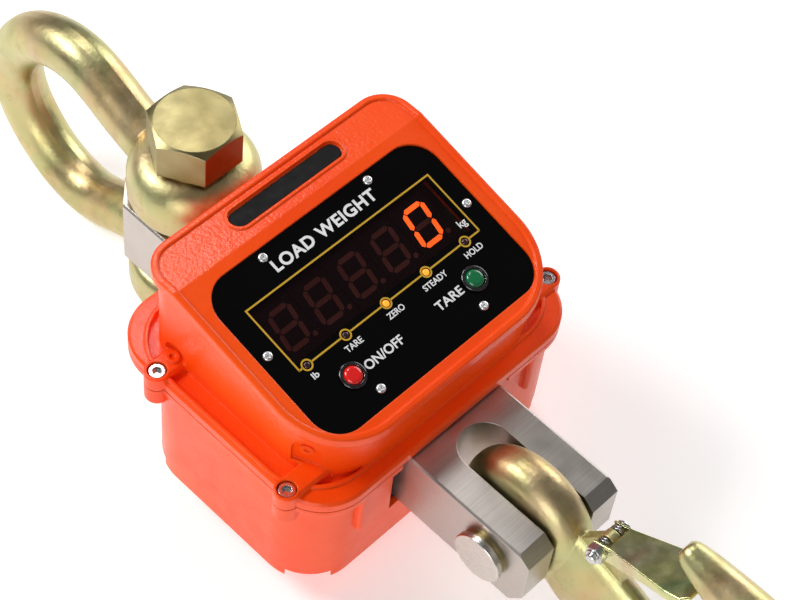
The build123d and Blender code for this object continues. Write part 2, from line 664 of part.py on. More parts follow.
def shackle_bow():
    """Forged bow: a round bar with narrow flats, swept into two eared legs."""
    upper = [(0, y, z) for y, z in BOW_LEG]
    lower = [(0, y, -z) for y, z in reversed(BOW_LEG)]
    path = Spline(*upper, (0, BOW_CROWN_Y, 0), *lower)
    start = Plane(origin=path @ 0, x_dir=(1, 0, 0), z_dir=path % 0)
    bow = sweep(start * (Circle(BOW_WIRE) & Rectangle(60, 2 * BOW_FLAT)), path=path)
    for side in (-1, 1):
        bow += bow_ear(side)
    bow -= Pos(0, BOLT_Y, 0) * Cylinder(JAW_RADIUS, 2 * EAR_INNER)
    bow -= Pos(0, BOLT_Y, 40) * Cylinder(BOLT_RADIUS + 0.3, 60)
    bow -= Pos(0, BOLT_Y, -45) * Cylinder(BOLT_RADIUS + 0.02, 50)
    return Pos(0, 0, AXIS_Z) * bow


def bow_ear(side):
    """Thick round ear with a generously rounded outer rim."""
    ear = Cylinder(EAR_RADIUS, EAR_THICK)
    ear = fillet(ear.edges().filter_by(GeomType.CIRCLE).sort_by(Axis.Z)[-1], 17)
    ear = fillet(ear.edges().filter_by(GeomType.CIRCLE).sort_by(Axis.Z)[0], 8)
    ear = ear if side > 0 else Rot(180, 0, 0) * ear
    return Pos(0, BOLT_Y, side * (EAR_INNER + EAR_THICK / 2)) * ear


def shackle_bolt():
    underside = EAR_INNER + EAR_THICK + WASHER_THICK
    head = extrude(RegularPolygon(HEAD_FLATS / 2, 6, major_radius=False), HEAD_HEIGHT)
    flat = HEAD_FLATS * 0.475
    spread = HEAD_HEIGHT / math.tan(math.radians(30))
    crown = Pos(0, 0, HEAD_HEIGHT / 2) * Cone(flat + spread, flat, HEAD_HEIGHT)
    head = Pos(0, 0, underside) * (head & crown)
    low = -(EAR_INNER + EAR_THICK + 9)
    shank = Pos(0, 0, (low + underside) / 2) * Cylinder(BOLT_RADIUS, underside - low)
    shank = chamfer(shank.edges().group_by(Axis.Z)[0], 1.5)
    bolt = Pos(0, BOLT_Y, AXIS_Z) * (head + shank)
    return bolt - rod(2.05, (-20, BOLT_Y, split_pin_z()), (20, BOLT_Y, split_pin_z()))


def split_pin_z():
    return AXIS_Z - EAR_INNER - EAR_THICK - 4.6


def bolt_washer():
    low = AXIS_Z + EAR_INNER + EAR_THICK
    ring = Cylinder(22.5, WASHER_THICK) - Cylinder(BOLT_RADIUS + 0.1, 10)
    return Pos(0, BOLT_Y, low + WASHER_THICK / 2) * ring


def split_pin():
    z = split_pin_z()
    pin = rod(2.0, (-21, BOLT_Y, z), (21, BOLT_Y, z))
    loop = Pos(-24.5, BOLT_Y, z) * Torus(3.6, 1.6)
    return pin + loop


def hook_pin():
    half = BAR_WIDTH / 2
    pin = rod(PIN_RADIUS, (-half - 2.5, PIN_Y, AXIS_Z), (half + 6, PIN_Y, AXIS_Z))
    pin = chamfer(pin.edges().group_by(Axis.X)[-1], 1.2)
    head = rod(15.5, (-half - 6.5, PIN_Y, AXIS_Z), (-half - 2.4, PIN_Y, AXIS_Z))
    head = fillet(head.edges().group_by(Axis.X)[0], 1.0)
    head = chamfer(head.edges().group_by(Axis.X)[-1], 0.6)
    groove = rod(PIN_RADIUS + 3, (half + 2.1, PIN_Y, AXIS_Z), (half + 3.7, PIN_Y, AXIS_Z))
    groove -= rod(PIN_RADIUS - 1.4, (half, PIN_Y, AXIS_Z), (half + 5, PIN_Y, AXIS_Z))
    return pin + head - groove


def pin_washers():
    """Plain washer under each end of the hook pin."""
    washers = []
    for near, far in ((-BAR_WIDTH / 2 - 2.2, -BAR_WIDTH / 2), (BAR_WIDTH / 2, BAR_WIDTH / 2 + 2.0)):
        ring = rod(14.6, (near, PIN_Y, AXIS_Z), (far, PIN_Y, AXIS_Z))
        washers.append(ring - rod(PIN_RADIUS + 0.05, (near - 1, PIN_Y, AXIS_Z), (far + 1, PIN_Y, AXIS_Z)))
    return washers


def pin_circlip():
    near = BAR_WIDTH / 2 + 2.15
    ring = rod(15.4, (near, PIN_Y, AXIS_Z), (near + 1.5, PIN_Y, AXIS_Z))
    ring -= rod(PIN_RADIUS - 1.35, (near - 1, PIN_Y, AXIS_Z), (near + 3, PIN_Y, AXIS_Z))
    return ring - block((near - 1, PIN_Y - 3.5, AXIS_Z), (near + 3, PIN_Y + 3.5, AXIS_Z + 20))


def hook_section(centre, along, half_height, half_width):
    """Elliptical cross-section standing square to a direction in the hook's plane."""
    plane = Plane(origin=(0, *centre), x_dir=(1, 0, 0), z_dir=(0, *along))
    return plane * Ellipse(half_width, half_height)


def bowl_section(angle, outer, half_width):
    """Elliptical cross-section on a radius of the hook's bowl."""
    turn = math.radians(angle)
    reach = (BOWL_RADIUS + outer) / 2
    centre = (BOWL_Y + reach * math.cos(turn), BOWL_Z + reach * math.sin(turn))
    along = (math.sin(turn), -math.cos(turn))
    return hook_section(centre, along, (outer - BOWL_RADIUS) / 2, half_width)


def hook_body():
    """Forged eye hook with a lug for the latch."""
    sections = [hook_section(*values) for values in SHANK_SECTIONS]
    sections += [bowl_section(*values) for values in BOWL_SECTIONS]
    sections += [hook_section(*values) for values in ARM_SECTIONS]
    hook = loft(sections)
    tip = Vector(0, *ARM_SECTIONS[-1][0])
    hook = fillet(min(hook.edges(), key=lambda e: (e.center() - tip).length), 2.5)
    eye = rod(EYE_RADIUS, (-HOOK_THICK / 2, PIN_Y, AXIS_Z), (HOOK_THICK / 2, PIN_Y, AXIS_Z))
    hook += fillet(eye.edges().filter_by(GeomType.CIRCLE), 12.5)
    lug = rod(LATCH_EYE, (-LATCH_LUG, LATCH_Y, LATCH_Z), (LATCH_LUG, LATCH_Y, LATCH_Z))
    web = Plane.YZ * Polygon((LATCH_Y - LATCH_EYE + 0.4, LATCH_Z), (LATCH_Y + LATCH_EYE - 0.4, LATCH_Z),
                             (LATCH_Y + 22, 88), (LATCH_Y - 20, 74), align=None)
    hook += lug + extrude(web, LATCH_LUG, both=True)
    hook -= rod(LATCH_BOLT_RADIUS + 0.03, (-20, LATCH_Y, LATCH_Z), (20, LATCH_Y, LATCH_Z))
    bore = PIN_RADIUS + 0.06
    hook -= rod(bore, (-20, PIN_Y, AXIS_Z), (20, PIN_Y, AXIS_Z))
    rims = [e for e in hook.edges().filter_by(GeomType.CIRCLE) if abs(e.radius - bore) < 0.01]
    return fillet(rims, 7)


def on_latch(u, x, n):
    """Location in the latch's frame: u along it from the hinge, x across, n out of its plate."""
    return Pos(0, LATCH_Y, LATCH_Z) * Rot(-LATCH_TILT, 0, 0) * Pos(x, -u, n)


def latch_plan(grow):
    """Plan of the latch's plate, widening towards its free end."""
    points = [(-5, LATCH_HALF), (8, LATCH_HALF), (48, 15), (LATCH_LENGTH - 4, 15), (LATCH_LENGTH, 11)]
    right = [(x + grow, -u) for u, x in points]
    left = [(-x - grow, -u) for u, x in reversed(points)]
    return Polygon(*right, *left, align=None)


def hook_latch():
    """Pressed channel: a plate with a flange down each side."""
    plate_low = LATCH_TOP - LATCH_SHEET
    outer = Pos(0, 0, -6) * extrude(latch_plan(0), LATCH_TOP + 6, dir=(0, 0, 1))
    outer = fillet(outer.edges().group_by(Axis.Z)[-1], 1.2)
    inner = Pos(0, 0, -8) * extrude(latch_plan(-LATCH_SHEET), 8 + plate_low, dir=(0, 0, 1))
    gap = LATCH_HALF - LATCH_SHEET
    inner += block((-gap, -6.5, -8), (gap, 12, LATCH_TOP + 1))
    inner += block((-13, -LATCH_LENGTH - 5, -8), (13, -LATCH_LENGTH + 3, plate_low))
    side = Plane.YZ * Polygon((-LATCH_LENGTH - 2, 0.8), (-34, -1.5), (-10, -6.5), (6, -6.5), (6, -12),
                              (-LATCH_LENGTH - 2, -12), align=None)
    channel = outer - inner - extrude(side, 30, both=True)
    channel -= block((-20, 3.6, -10), (20, 10, LATCH_TOP + 1))
    channel -= rod(LATCH_BOLT_RADIUS + 0.05, (-30, 0, 0), (30, 0, 0))
    return on_latch(0, 0, 0) * channel


def latch_bolt():
    """Hinge bolt with a low round head on the right."""
    bolt = rod(LATCH_BOLT_RADIUS, (-17, LATCH_Y, LATCH_Z), (10, LATCH_Y, LATCH_Z))
    bolt = chamfer(bolt.edges().group_by(Axis.X)[0], 0.6)
    head = rod(4.8, (9.5, LATCH_Y, LATCH_Z), (11.7, LATCH_Y, LATCH_Z))
    return bolt + fillet(head.edges().group_by(Axis.X)[-1], 1.5)


def latch_nut():
    """Hexagon nut with a round collar on its outer end."""
    nut = extrude(RegularPolygon(5, 6, major_radius=False), 4.2)
    nut = Pos(-13.7, LATCH_Y, LATCH_Z) * Rot(0, 90, 0) * nut
    nut += rod(4.3, (-15.2, LATCH_Y, LATCH_Z), (-13.6, LATCH_Y, LATCH_Z))
    return nut - rod(LATCH_BOLT_RADIUS, (-22, LATCH_Y, LATCH_Z), (0, LATCH_Y, LATCH_Z))


def latch_spring():
    """Two coils around the hinge bolt, one on each side of the lug, with a leg under the plate."""
    springs = []
    for side in (-1, 1):
        helix = Helix(pitch=1.7, height=2.55, radius=4.3)
        coil = sweep(Plane(origin=helix @ 0, z_dir=helix % 0) * Circle(0.75), path=helix)
        coil = Pos(3.9 if side > 0 else -6.45, 0, 0) * Rot(0, 90, 0) * coil
        leg = on_latch(0, side * 6.3, -4.3) * rod(0.75, (0, 0, 0), (0, -19, 5.6))
        springs.append(Pos(0, LATCH_Y, LATCH_Z) * coil + leg)
    return springs


PARTS = {
    "rear_housing": rear_housing,
    "front_cover": front_cover,
    "cover_gasket": cover_gasket,
    "cover_screws": cover_screws,
    "face_panel": face_panel,
    "panel_screws": panel_screws,
    "display_window": display_window,
    "indicator_lamps": indicator_lamps,
    "display_board": display_board,
    "board_posts": board_posts,
    "board_screws": board_screws,
    "receiver_window": receiver_window,
    "battery_pack": battery_pack,
    "battery_door": battery_door,
    "door_screws": door_screws,
    "rest_pad": rest_pad,
    "main_board": main_board,
    "main_board_posts": main_board_posts,
    "main_board_screws": main_board_screws,
    "charge_socket": charge_socket,
    "charge_cap": charge_cap,
    "charge_cap_pin": charge_cap_pin,
    "load_cell_bar": load_cell_bar,
    "bar_spacers": bar_spacers,
    "bar_screws": bar_screws,
    "shackle_bow": shackle_bow,
    "shackle_bolt": shackle_bolt,
    "bolt_washer": bolt_washer,
    "split_pin": split_pin,
    "hook_pin": hook_pin,
    "pin_washers": pin_washers,
    "pin_circlip": pin_circlip,
    "hook_body": hook_body,
    "hook_latch": hook_latch,
    "latch_bolt": latch_bolt,
    "latch_nut": latch_nut,
    "latch_spring": latch_spring,
}


def all_parts():
    """Every node's name with its solid or solids."""
    for name, make in PARTS.items():
        yield name, make()
    for index in range(5):
        yield "led_digit_" + str(index + 1), led_digit(index)
    for name, x in (("red", -BUTTON_X), ("green", BUTTON_X)):
        yield name + "_button_cap", button_cap(x)
        yield name + "_button_ring", button_ring(x)
        yield name + "_button_switch", button_switch(x)
    for name, side in (("left", -1), ("right", 1)):
        yield name + "_gauge_cover", gauge_cover(side)
    yield "hook_end_seal", bar_seal(CASE_LOW_Y + WALL, CASE_LOW_Y + WALL + 4)
    yield "shackle_end_seal", bar_seal(CASE_HIGH_Y - WALL - 4, CASE_HIGH_Y - WALL)


def write_part(name, solids):
    if isinstance(solids, list):
        solids = Compound(children=solids)
    export_step(solids, os.path.join(PARTS_FOLDER, name + ".step"))


def main():
    os.makedirs(PARTS_FOLDER, exist_ok=True)
    for name, solids in all_parts():
        write_part(name, solids)


main()
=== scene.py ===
import math

import bmesh
import bpy
from mathutils import Matrix, Vector


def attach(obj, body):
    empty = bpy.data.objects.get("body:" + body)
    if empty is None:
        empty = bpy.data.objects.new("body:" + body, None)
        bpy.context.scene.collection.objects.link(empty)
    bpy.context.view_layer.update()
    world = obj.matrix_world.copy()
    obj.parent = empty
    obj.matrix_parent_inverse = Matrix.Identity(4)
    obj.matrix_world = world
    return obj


# Crane scale lying on its back: looks, printed panel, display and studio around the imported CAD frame.

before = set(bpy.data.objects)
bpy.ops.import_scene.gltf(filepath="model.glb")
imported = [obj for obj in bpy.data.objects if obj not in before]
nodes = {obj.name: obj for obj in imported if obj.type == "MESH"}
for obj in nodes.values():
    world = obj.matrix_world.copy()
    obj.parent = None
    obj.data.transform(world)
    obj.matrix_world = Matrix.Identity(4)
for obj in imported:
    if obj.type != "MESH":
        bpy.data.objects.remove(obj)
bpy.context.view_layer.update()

MM = 0.001

# Places taken from the CAD part, in millimetres
FACE_TILT = math.radians(14.5)
FACE_Z = 157.9
DIGIT_X0 = -52.6
DIGIT_PITCH = 24.8
WINDOW_V = 0.3
LAMP_XS = (-60.4, -32.7, -3.0, 27.0, 57.0)
LAMP_V = -21.3

# Lamps within this reach of this place across the panel are lit
LIT_CENTRE = 12.0
LIT_REACH = 24.0


# ---------------------------------------------------------------- node materials

class Graph:
    """Short-hand for building one material's node tree."""

    def __init__(self, name):
        self.material = bpy.data.materials.new(name)
        self.material.use_nodes = True
        self.tree = self.material.node_tree
        self.tree.nodes.clear()
        self.out = self.tree.nodes.new("ShaderNodeOutputMaterial")
        self.shader = self.tree.nodes.new("ShaderNodeBsdfPrincipled")
        self.tree.links.new(self.shader.outputs[0], self.out.inputs[0])
        self.place = self.tree.nodes.new("ShaderNodeTexCoord").outputs["Object"]

    def node(self, kind, **settings):
        made = self.tree.nodes.new(kind)
        for key, value in settings.items():
            setattr(made, key, value)
        return made

    def feed(self, socket, value):
        if isinstance(value, bpy.types.NodeSocket):
            self.tree.links.new(value, socket)
        else:
            socket.default_value = value

    def stretch(self, scale, turn=(0, 0, 0)):
        made = self.node("ShaderNodeMapping")
        made.inputs["Scale"].default_value = scale
        made.inputs["Rotation"].default_value = turn
        self.feed(made.inputs["Vector"], self.place)
        return made.outputs[0]

    def noise(self, scale, detail=3.0, rough=0.5, where=None, distort=0.0):
        made = self.node("ShaderNodeTexNoise")
        self.feed(made.inputs["Vector"], where or self.place)
        made.inputs["Scale"].default_value = scale
        made.inputs["Detail"].default_value = detail
        made.inputs["Roughness"].default_value = rough
        made.inputs["Distortion"].default_value = distort
        return made.outputs["Fac"]

    def ramp(self, value, stops):
        made = self.node("ShaderNodeValToRGB")
        self.feed(made.inputs[0], value)
        ramp = made.color_ramp
        while len(ramp.elements) < len(stops):
            ramp.elements.new(0.5)
        for element, (at, colour) in zip(ramp.elements, stops):
            element.position = at
            shade = colour if isinstance(colour, tuple) else (colour,) * 3
            element.color = (*shade, 1.0)
        return made.outputs[0]

    def mix(self, share, first, second, blend="MIX"):
        made = self.node("ShaderNodeMix", data_type="RGBA", blend_type=blend)
        self.feed(made.inputs[0], share)
        for socket, value in ((made.inputs[6], first), (made.inputs[7], second)):
            self.feed(socket, (*value, 1.0) if isinstance(value, tuple) else value)
        return made.outputs[2]

    def math(self, operation, first, second=0.0, clamp=False):
        made = self.node("ShaderNodeMath", operation=operation, use_clamp=clamp)
        self.feed(made.inputs[0], first)
        self.feed(made.inputs[1], second)
        return made.outputs[0]

    def scaled(self, value, low, high, to_low=0.0, to_high=1.0):
        made = self.node("ShaderNodeMapRange")
        self.feed(made.inputs[0], value)
        for index, number in enumerate((low, high, to_low, to_high)):
            made.inputs[index + 1].default_value = number
        return made.outputs[0]

    def soft_edges(self, radius):
        made = self.node("ShaderNodeBevel", samples=6)
        made.inputs["Radius"].default_value = radius
        return made.outputs[0]

    def edge_mask(self, radius, low=0.01, high=0.25):
        """1 on edges within a radius, 0 on open faces."""
        shape = self.node("ShaderNodeNewGeometry").outputs["Normal"]
        dot = self.node("ShaderNodeVectorMath", operation="DOT_PRODUCT")
        self.feed(dot.inputs[0], self.soft_edges(radius))
        self.feed(dot.inputs[1], shape)
        return self.scaled(self.math("SUBTRACT", 1.0, dot.outputs["Value"]), low, high)

    def bump(self, height, strength, distance, normal=None):
        made = self.node("ShaderNodeBump")
        made.inputs["Strength"].default_value = strength
        made.inputs["Distance"].default_value = distance
        self.feed(made.inputs["Height"], height)
        if normal is not None:
            self.feed(made.inputs["Normal"], normal)
        return made.outputs[0]

    def set(self, **values):
        names = {"color": "Base Color", "rough": "Roughness", "metal": "Metallic", "normal": "Normal",
                 "coat": "Coat Weight", "coat_rough": "Coat Roughness", "coat_normal": "Coat Normal",
                 "ior": "IOR", "spec": "Specular IOR Level", "alpha": "Alpha", "glow": "Emission Color",
                 "glow_strength": "Emission Strength", "transmission": "Transmission Weight",
                 "aniso": "Anisotropic", "sheen": "Sheen Weight", "tangent": "Tangent"}
        for key, value in values.items():
            if isinstance(value, tuple) and len(value) == 3:
                value = (*value, 1.0)
            self.feed(self.shader.inputs[names[key]], value)
        return self.material


def orange_paint():
    g = Graph("orange_paint")
    tone = g.mix(g.scaled(g.noise(9.0, 3.0), 0.35, 0.65), (0.93, 0.066, 0.002), (0.98, 0.092, 0.004))
    edge = g.edge_mask(0.0012, 0.02, 0.5)
    tone = g.mix(g.math("MULTIPLY", edge, 0.4), tone, (1.0, 0.24, 0.05))
    peel = g.noise(520.0, 2.0, 0.45)
    cast = g.noise(150.0, 3.0, 0.5)
    height = g.math("ADD", g.math("MULTIPLY", peel, 0.7), g.math("MULTIPLY", cast, 0.8))
    soft = g.soft_edges(0.0011)
    return g.set(color=tone, rough=g.scaled(g.noise(60.0, 4.0), 0.3, 0.7, 0.30, 0.42),
                 normal=g.bump(height, 0.8, 0.00026, soft), spec=0.22,
                 coat=0.22, coat_rough=0.12, coat_normal=g.bump(peel, 0.8, 0.00026, soft))


def gold_zinc():
    g = Graph("gold_zinc")
    broad = g.noise(14.0, 4.0, 0.55, distort=0.4)
    tone = g.ramp(broad, [(0.28, (0.40, 0.30, 0.10)), (0.45, (0.54, 0.45, 0.20)),
                          (0.58, (0.50, 0.45, 0.23)), (0.74, (0.40, 0.27, 0.08))])
    sheen = g.noise(24.0, 2.0, 0.5, distort=1.2)
    tint = g.ramp(sheen, [(0.38, (0.45, 0.56, 0.27)), (0.5, (0.62, 0.52, 0.28)), (0.62, (0.68, 0.38, 0.27))])
    tone = g.mix(0.26, tone, tint)
    tone = g.mix(g.scaled(g.noise(120.0, 5.0, 0.6), 0.55, 0.8, 0.0, 0.45), tone, (0.30, 0.22, 0.09))
    pits = g.scaled(g.noise(38.0, 7.0, 0.7), 0.70, 0.76)
    tone = g.mix(g.math("MULTIPLY", pits, 0.6), tone, (0.06, 0.045, 0.03))
    height = g.math("ADD", g.noise(45.0, 6.0, 0.65), g.math("MULTIPLY", g.noise(420.0, 3.0), 0.25))
    return g.set(color=tone, metal=1.0, rough=g.scaled(g.noise(70.0, 5.0, 0.6), 0.3, 0.7, 0.30, 0.48),
                 normal=g.bump(height, 0.7, 0.0006, g.soft_edges(0.0012)))


def latch_zinc():
    g = Graph("latch_zinc")
    sheen = g.noise(30.0, 3.0, 0.5, distort=0.8)
    tone = g.ramp(sheen, [(0.30, (0.34, 0.50, 0.24)), (0.44, (0.62, 0.60, 0.26)), (0.56, (0.66, 0.64, 0.36)),
                          (0.70, (0.58, 0.44, 0.26))])
    edge = g.edge_mask(0.0006, 0.03, 0.4)
    tone = g.mix(g.math("MULTIPLY", edge, 0.5), tone, (0.85, 0.82, 0.66))
    return g.set(color=tone, metal=1.0, rough=g.scaled(g.noise(90.0, 4.0), 0.3, 0.7, 0.16, 0.28),
                 normal=g.bump(g.noise(70.0, 4.0), 0.25, 0.0003, g.soft_edges(0.0005)))


def bolt_zinc():
    g = Graph("bolt_zinc")
    tone = g.ramp(g.noise(30.0, 4.0), [(0.3, (0.26, 0.21, 0.09)), (0.7, (0.36, 0.31, 0.15))])
    edge = g.edge_mask(0.001, 0.03, 0.5)
    tone = g.mix(g.math("MULTIPLY", edge, 0.5), tone, (0.85, 0.8, 0.66))
    height = g.noise(90.0, 5.0, 0.6)
    return g.set(color=tone, metal=1.0, rough=g.scaled(g.noise(90.0, 4.0), 0.3, 0.7, 0.30, 0.44),
                 normal=g.bump(height, 0.35, 0.0003, g.soft_edges(0.0008)))


def ground_steel():
    g = Graph("ground_steel")
    along = g.noise(60.0, 4.0, 0.6, g.stretch((0.35, 30.0, 30.0)))
    lines = g.noise(220.0, 3.0, 0.7, g.stretch((0.12, 12.0, 12.0)))
    tone = g.ramp(along, [(0.3, (0.46, 0.42, 0.385)), (0.7, (0.58, 0.54, 0.50))])
    stain = g.noise(18.0, 4.0, 0.6)
    tone = g.mix(g.scaled(stain, 0.5, 0.8, 0.0, 0.4), tone, (0.40, 0.35, 0.30))
    edge = g.edge_mask(0.0009, 0.03, 0.4)
    tone = g.mix(g.math("MULTIPLY", edge, 0.6), tone, (0.72, 0.69, 0.66))
    return g.set(color=tone, metal=1.0, rough=g.scaled(g.noise(50.0, 4.0), 0.3, 0.7, 0.30, 0.42), aniso=0.4,
                 normal=g.bump(lines, 0.5, 0.00006, g.soft_edges(0.0006)))


def turned_metal(name, low, high, rough=(0.18, 0.3), grain=400.0):
    g = Graph(name)
    tone = g.mix(g.noise(60.0, 4.0), low, high)
    edge = g.edge_mask(0.0005, 0.03, 0.4)
    tone = g.mix(g.math("MULTIPLY", edge, 0.4), tone, (0.9, 0.89, 0.87))
    return g.set(color=tone, metal=1.0, rough=g.scaled(g.noise(150.0, 3.0), 0.3, 0.7, *rough),
                 normal=g.bump(g.noise(grain, 4.0, 0.6), 0.3, 0.00005, g.soft_edges(0.0004)))


def plastic(name, color, rough=(0.25, 0.4), coat=0.0, grain=900.0, strength=0.15, spec=0.5):
    g = Graph(name)
    dark = tuple(c * 0.82 for c in color)
    tone = g.mix(g.noise(40.0, 3.0), dark, color)
    return g.set(color=tone, rough=g.scaled(g.noise(180.0, 4.0), 0.3, 0.7, *rough),
                 coat=coat, coat_rough=0.06, spec=spec,
                 normal=g.bump(g.noise(grain, 3.0), strength, 0.00005, g.soft_edges(0.0003)))


def rubber(name):
    g = Graph(name)
    tone = g.mix(g.noise(50.0, 4.0), (0.012, 0.012, 0.012), (0.03, 0.029, 0.028))
    return g.set(color=tone, rough=g.scaled(g.noise(90.0, 4.0), 0.3, 0.7, 0.55, 0.75), spec=0.35,
                 normal=g.bump(g.noise(700.0, 3.0), 0.4, 0.0001, g.soft_edges(0.0004)))


def black_panel():
    g = Graph("black_panel")
    tone = g.mix(g.noise(70.0, 3.0), (0.0006, 0.0006, 0.0008), (0.0014, 0.0013, 0.0013))
    smudge = g.noise(35.0, 5.0, 0.6)
    return g.set(color=tone, rough=g.scaled(smudge, 0.35, 0.75, 0.08, 0.16), spec=0.18,
                 normal=g.bump(g.noise(25.0, 2.0), 0.08, 0.0002))


def smoked_window():
    g = Graph("smoked_window")
    veil = g.scaled(g.noise(45.0, 4.0), 0.3, 0.7, 0.42, 0.5)
    return g.set(color=(0.008, 0.002, 0.003), alpha=veil, spec=0.18,
                 rough=g.scaled(g.noise(40.0, 5.0), 0.35, 0.75, 0.08, 0.18))


def module_face():
    g = Graph("led_module")
    tone = g.mix(g.noise(90.0, 3.0), (0.004, 0.0025, 0.0025), (0.008, 0.005, 0.0045))
    return g.set(color=tone, rough=g.scaled(g.noise(60.0, 3.0), 0.3, 0.7, 0.5, 0.65), spec=0.2)


def lamp_lenses():
    """Amber lenses: the two in the middle are lit, told apart by their place across the panel."""
    g = Graph("lamp_lens")
    across = g.node("ShaderNodeSeparateXYZ")
    g.feed(across.inputs[0], g.place)
    lit = g.math("COMPARE", across.outputs["X"], LIT_CENTRE * MM)
    lit.node.inputs[2].default_value = LIT_REACH * MM
    speck = g.noise(300.0, 3.0)
    tone = g.mix(lit, (0.035, 0.006, 0.010), (0.85, 0.22, 0.02))
    light = g.mix(speck, (1.0, 0.16, 0.005), (1.0, 0.30, 0.02))
    return g.set(color=g.mix(g.math("MULTIPLY", speck, 0.3), tone, (0.02, 0.004, 0.004)), rough=0.2,
                 coat=0.6, coat_rough=0.05, glow=light, glow_strength=g.math("MULTIPLY", lit, 1.6))


def glowing(name, color, light, strength):
    g = Graph(name)
    body = g.noise(260.0, 3.0)
    tone = g.mix(body, tuple(c * 0.85 for c in color), color)
    return g.set(color=tone, rough=0.45, glow=g.mix(body, tuple(c * 0.85 for c in light), light),
                 glow_strength=strength, normal=g.bump(g.noise(900.0, 2.0), 0.2, 0.00005))


def ink(name, color):
    g = Graph(name)
    tone = g.mix(g.noise(300.0, 4.0), tuple(c * 0.86 for c in color), color)
    return g.set(color=tone, rough=g.scaled(g.noise(200.0, 3.0), 0.3, 0.7, 0.35, 0.5),
                 normal=g.bump(g.noise(1500.0, 2.0), 0.25, 0.00004))


def circuit(name):
    g = Graph(name)
    traces = g.node("ShaderNodeTexBrick")
    traces.inputs["Scale"].default_value = 180.0
    traces.inputs["Mortar Size"].default_value = 0.05
    g.feed(traces.inputs["Vector"], g.place)
    tone = g.mix(g.scaled(traces.outputs["Fac"], 0, 1, 0.0, 0.7), (0.010, 0.11, 0.045), (0.03, 0.22, 0.10))
    return g.set(color=tone, rough=0.35, coat=0.4, coat_rough=0.1,
                 normal=g.bump(traces.outputs["Fac"], 0.4, 0.0001))


def pale_floor():
    g = Graph("pale_floor")
    tone = g.mix(g.noise(3.0, 3.0), (0.93, 0.93, 0.93), (0.95, 0.95, 0.95))
    return g.set(color=tone, rough=0.7, spec=0.1, glow=(1.0, 0.995, 0.985), glow_strength=0.36)


MAKERS = {
    "orange_paint": orange_paint,
    "gold_zinc": gold_zinc,
    "bolt_zinc": bolt_zinc,
    "ground_steel": ground_steel,
    "pin_nickel": lambda: turned_metal("pin_nickel", (0.55, 0.52, 0.47), (0.66, 0.63, 0.58), (0.22, 0.34)),
    "zinc_screw": lambda: turned_metal("zinc_screw", (0.58, 0.58, 0.59), (0.70, 0.70, 0.71)),
    "panel_screw": lambda: turned_metal("panel_screw", (0.82, 0.82, 0.83), (0.94, 0.94, 0.94), (0.30, 0.42)),
    "spring_steel": lambda: turned_metal("spring_steel", (0.26, 0.25, 0.24), (0.38, 0.37, 0.35), (0.2, 0.3)),
    "foil": lambda: turned_metal("foil", (0.60, 0.60, 0.61), (0.70, 0.70, 0.70), (0.3, 0.4)),
    "brass": lambda: turned_metal("brass", (0.62, 0.44, 0.16), (0.72, 0.55, 0.24)),
    "key_ring": lambda: turned_metal("key_ring", (0.08, 0.08, 0.085), (0.14, 0.14, 0.145), (0.14, 0.24)),
    "rubber": lambda: rubber("rubber"),
    "black_panel": black_panel,
    "smoked_window": smoked_window,
    "led_module": module_face,
    "red_key": lambda: plastic("red_key", (0.80, 0.012, 0.010), (0.16, 0.24), 0.5, 500.0, 0.1),
    "green_key": lambda: plastic("green_key", (0.004, 0.16, 0.055), (0.16, 0.24), 0.5, 500.0, 0.1),
    "dark_plastic": lambda: plastic("dark_plastic", (0.02, 0.02, 0.022), (0.35, 0.5)),
    "window_insert": lambda: plastic("window_insert", (0.004, 0.004, 0.005), (0.42, 0.6),
                                     grain=420.0, strength=1.0, spec=0.15),
    "battery_wrap": lambda: plastic("battery_wrap", (0.02, 0.06, 0.20), (0.25, 0.4), 0.2),
    "circuit": lambda: circuit("circuit"),
    "lamp_lens": lamp_lenses,
    "latch_zinc": latch_zinc,
    # Unlit segments: a faint painted glow stands in for the light they reflect, so they show through the
    # smoked window
    "segment_dim": lambda: glowing("segment_dim", (0.12, 0.035, 0.028), (0.10, 0.020, 0.012), 0.6),
    "segment_lit": lambda: glowing("segment_lit", (0.9, 0.10, 0.02), (1.0, 0.10, 0.012), 5.0),
    "yellow_ink": lambda: ink("yellow_ink", (0.62, 0.36, 0.02)),
    "white_ink": lambda: ink("white_ink", (0.85, 0.85, 0.85)),
}
made = {}


def material(name):
    if name not in made:
        made[name] = MAKERS[name]()
    return made[name]


NODE_MATERIALS = {
    "orange_paint": ("rear_housing", "front_cover", "battery_door"),
    "rubber": ("cover_gasket", "rest_pad", "charge_cap", "hook_end_seal", "shackle_end_seal"),
    "panel_screw": ("panel_screws",),
    "zinc_screw": ("cover_screws", "board_screws", "door_screws", "main_board_screws",
                   "charge_cap_pin", "bar_screws", "split_pin", "pin_circlip", "latch_bolt", "latch_nut"),
    "spring_steel": ("latch_spring",),
    "black_panel": ("face_panel",),
    "smoked_window": ("display_window",),
    "lamp_lens": ("indicator_lamps",),
    "circuit": ("display_board", "main_board"),
    "brass": ("board_posts", "main_board_posts"),
    "red_key": ("red_button_cap",),
    "green_key": ("green_button_cap",),
    "key_ring": ("red_button_ring", "green_button_ring"),
    "dark_plastic": ("red_button_switch", "green_button_switch", "charge_socket"),
    "window_insert": ("receiver_window",),
    "battery_wrap": ("battery_pack",),
    "ground_steel": ("load_cell_bar",),
    "foil": ("left_gauge_cover", "right_gauge_cover", "bar_spacers"),
    "gold_zinc": ("shackle_bow", "hook_body"),
    "latch_zinc": ("hook_latch",),
    "bolt_zinc": ("shackle_bolt", "bolt_washer", "pin_washers"),
    "pin_nickel": ("hook_pin",),
    "led_module": tuple("led_digit_%d" % (i + 1) for i in range(5)),
}
for look, names in NODE_MATERIALS.items():
    for name in names:
        slots = nodes[name].material_slots
        if len(slots) == 0:
            nodes[name].data.materials.append(material(look))
        for slot in nodes[name].material_slots:
            slot.material = material(look)


